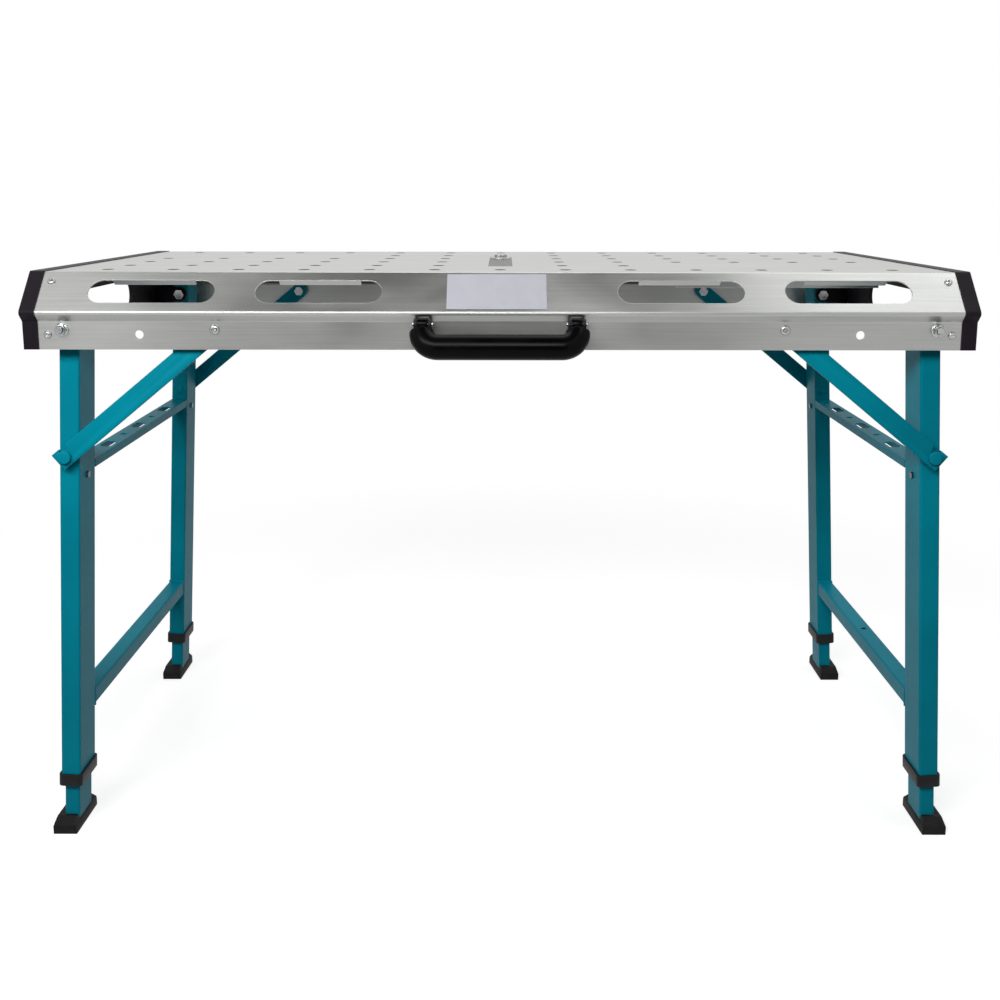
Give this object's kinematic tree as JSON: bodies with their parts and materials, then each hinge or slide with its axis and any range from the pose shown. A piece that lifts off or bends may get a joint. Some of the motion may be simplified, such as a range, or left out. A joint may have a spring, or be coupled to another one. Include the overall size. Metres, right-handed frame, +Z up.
{
  "type": "folding welding table",
  "caption": "Folding steel welding table with a perforated top, hand slots, splayed folding leg frames, braces, sliding feet and a carrying handle.",
  "frame": {"origin": "on the floor under the middle of the whole table's box, legs unfolded", "axes": "+Z up; +X along the table's length, to the right as seen from the handle side; +Y from the handle side to the rear"},
  "size_m": [1.2252, 0.6412, 0.7766],
  "materials": {
    "sheet_steel": "satin",
    "zinc_sheet": "satin",
    "zinc_fastener": "gloss",
    "earth_steel": "satin",
    "teal_coat": "satin",
    "black_plastic": "matte",
    "black_grip": "satin",
    "black_rubber": "matte",
    "label": "matte"
  },
  "bodies": {
    "table_body": {"deck_sheet": "sheet_steel", "left_end_cap": "black_plastic", "right_end_cap": "black_plastic", "cap_screws": "zinc_fastener", "label_plate": "label", "earth_bar": "earth_steel", "earth_bolt": "zinc_fastener", "earth_nut": "zinc_fastener", "left_guide_channel": "zinc_sheet", "right_guide_channel": "zinc_sheet", "leg_pivot_bolts": "zinc_fastener", "leg_pivot_nuts": "zinc_fastener", "leg_pivot_spacers": "zinc_fastener", "brace_pivot_screws": "zinc_fastener", "brace_pivot_spacers": "zinc_fastener", "brace_pivot_nuts": "zinc_fastener", "handle_brackets": "black_plastic", "handle_hinge_pins": "zinc_fastener", "handle_bracket_screws": "zinc_fastener"},
    "left_leg_frame": {"front_left_leg_tube": "teal_coat", "rear_left_leg_tube": "teal_coat", "left_crossbar": "teal_coat", "left_tool_bar": "teal_coat", "left_leg_collars": "black_plastic", "left_brace_pins": "teal_coat", "left_stop_screws": "zinc_fastener"},
    "front_left_brace_bar": {"front_left_brace": "teal_coat"},
    "front_left_inner_leg_set": {"front_left_inner_leg": "teal_coat", "front_left_slide_shoe": "black_plastic", "front_left_foot": "black_rubber"},
    "rear_left_brace_bar": {"rear_left_brace": "teal_coat"},
    "rear_left_inner_leg_set": {"rear_left_inner_leg": "teal_coat", "rear_left_slide_shoe": "black_plastic", "rear_left_foot": "black_rubber"},
    "right_leg_frame": {"front_right_leg_tube": "teal_coat", "rear_right_leg_tube": "teal_coat", "right_crossbar": "teal_coat", "right_tool_bar": "teal_coat", "right_leg_collars": "black_plastic", "right_brace_pins": "teal_coat", "right_stop_screws": "zinc_fastener"},
    "front_right_brace_bar": {"front_right_brace": "teal_coat"},
    "front_right_inner_leg_set": {"front_right_inner_leg": "teal_coat", "front_right_slide_shoe": "black_plastic", "front_right_foot": "black_rubber"},
    "rear_right_brace_bar": {"rear_right_brace": "teal_coat"},
    "rear_right_inner_leg_set": {"rear_right_inner_leg": "teal_coat", "rear_right_slide_shoe": "black_plastic", "rear_right_foot": "black_rubber"},
    "handle": {"carry_handle": "black_grip"},
    "left_guide": {"left_guide_strip": "zinc_sheet"},
    "right_guide": {"right_guide_strip": "zinc_sheet"}
  },
  "joints": [
    {"name": "left_leg_fold", "type": "hinge", "parent": "table_body", "child": "left_leg_frame", "pos_m": [-0.551, 0.02093, 0.6995], "axis": [0, -1, 0], "range_deg": [0, 95.2]},
    {"name": "front_left_brace_swing", "type": "hinge", "parent": "table_body", "child": "front_left_brace_bar", "pos_m": [-0.359, 0.02093, 0.6995], "axis": [0, -1, 0], "range_deg": [0, 143.16]},
    {"name": "front_left_inner_leg_slide", "type": "slide", "parent": "left_leg_frame", "child": "front_left_inner_leg_set", "axis": [-0.0593, 0, -0.9982], "range_m": [0, 0.12]},
    {"name": "rear_left_brace_swing", "type": "hinge", "parent": "table_body", "child": "rear_left_brace_bar", "pos_m": [-0.359, 0.02093, 0.6995], "axis": [0, -1, 0], "range_deg": [0, 143.16]},
    {"name": "rear_left_inner_leg_slide", "type": "slide", "parent": "left_leg_frame", "child": "rear_left_inner_leg_set", "axis": [-0.0593, 0, -0.9982], "range_m": [0, 0.12]},
    {"name": "right_leg_fold", "type": "hinge", "parent": "table_body", "child": "right_leg_frame", "pos_m": [0.551, 0.02093, 0.6995], "axis": [0, 1, 0], "range_deg": [0, 88]},
    {"name": "front_right_brace_swing", "type": "hinge", "parent": "table_body", "child": "front_right_brace_bar", "pos_m": [0.359, 0.02093, 0.6995], "axis": [0, 1, 0], "range_deg": [0, 132.33]},
    {"name": "front_right_inner_leg_slide", "type": "slide", "parent": "right_leg_frame", "child": "front_right_inner_leg_set", "axis": [0.0593, 0, -0.9982], "range_m": [0, 0.12]},
    {"name": "rear_right_brace_swing", "type": "hinge", "parent": "table_body", "child": "rear_right_brace_bar", "pos_m": [0.359, 0.02093, 0.6995], "axis": [0, 1, 0], "range_deg": [0, 132.33]},
    {"name": "rear_right_inner_leg_slide", "type": "slide", "parent": "right_leg_frame", "child": "rear_right_inner_leg_set", "axis": [0.0593, 0, -0.9982], "range_m": [0, 0.12]},
    {"name": "handle_swing", "type": "hinge", "parent": "table_body", "child": "handle", "pos_m": [0, -0.28307, 0.708], "axis": [-1, 0, 0], "range_deg": [0, 60]},
    {"name": "left_guide_raise", "type": "slide", "parent": "table_body", "child": "left_guide", "axis": [0, 0, 1], "range_m": [0, 0.02]},
    {"name": "right_guide_raise", "type": "slide", "parent": "table_body", "child": "right_guide", "axis": [0, 0, 1], "range_m": [0, 0.02]}
  ],
  "couplings": [
    {"joint": "front_left_brace_swing", "follows": "left_leg_fold", "ratio": 1.5038},
    {"joint": "rear_left_brace_swing", "follows": "left_leg_fold", "ratio": 1.5038},
    {"joint": "front_right_brace_swing", "follows": "right_leg_fold", "ratio": 1.5038},
    {"joint": "rear_right_brace_swing", "follows": "right_leg_fold", "ratio": 1.5038}
  ]
}
